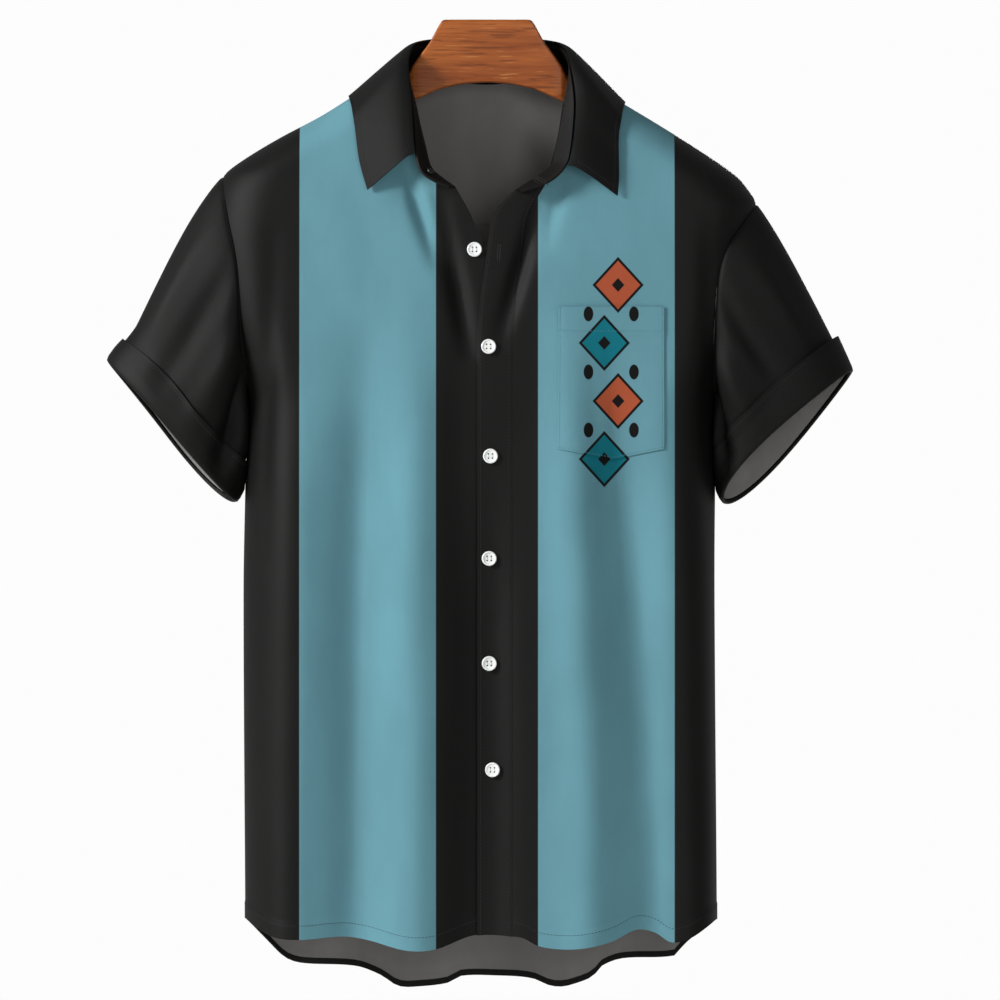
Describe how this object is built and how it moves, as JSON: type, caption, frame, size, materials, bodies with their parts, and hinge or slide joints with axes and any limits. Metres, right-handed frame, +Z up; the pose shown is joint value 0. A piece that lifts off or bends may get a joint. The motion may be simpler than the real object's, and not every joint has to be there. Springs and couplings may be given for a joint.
{
  "type": "bowling shirt on a hanger",
  "caption": "Short-sleeved bowling shirt with a turned-down collar, turned-up cuffs, a buttoned front and a chest pocket, hanging on a wooden hanger.",
  "frame": {"origin": "middle of the flat top of the hanger's head, where the hanger is held", "axes": "+Z up, the shirt's front faces -Y, +X towards the wearer's left sleeve, which is to the right of someone who looks at the front"},
  "size_m": [0.6515, 0.1399, 0.8459],
  "materials": {
    "black_cloth": "matte plain weave",
    "blue_cloth": "matte plain weave",
    "button_white": "satin",
    "hanger_wood": "satin varnish"
  },
  "bodies": {
    "root": {"front_right": "blue_cloth", "front_left": "blue_cloth", "pocket": "blue_cloth", "placket": "black_cloth", "yoke": "black_cloth", "back": "black_cloth", "sleeve_right": "black_cloth", "sleeve_left": "black_cloth", "cuff_right": "black_cloth", "cuff_left": "black_cloth", "collar_stand": "black_cloth", "collar_fall": "black_cloth", "button_collar": "black_cloth", "hanger": "hanger_wood", "button_1": "button_white", "button_2": "button_white", "button_3": "button_white", "button_4": "button_white", "button_5": "button_white", "button_6": "button_white"}
  },
  "joints": []
}
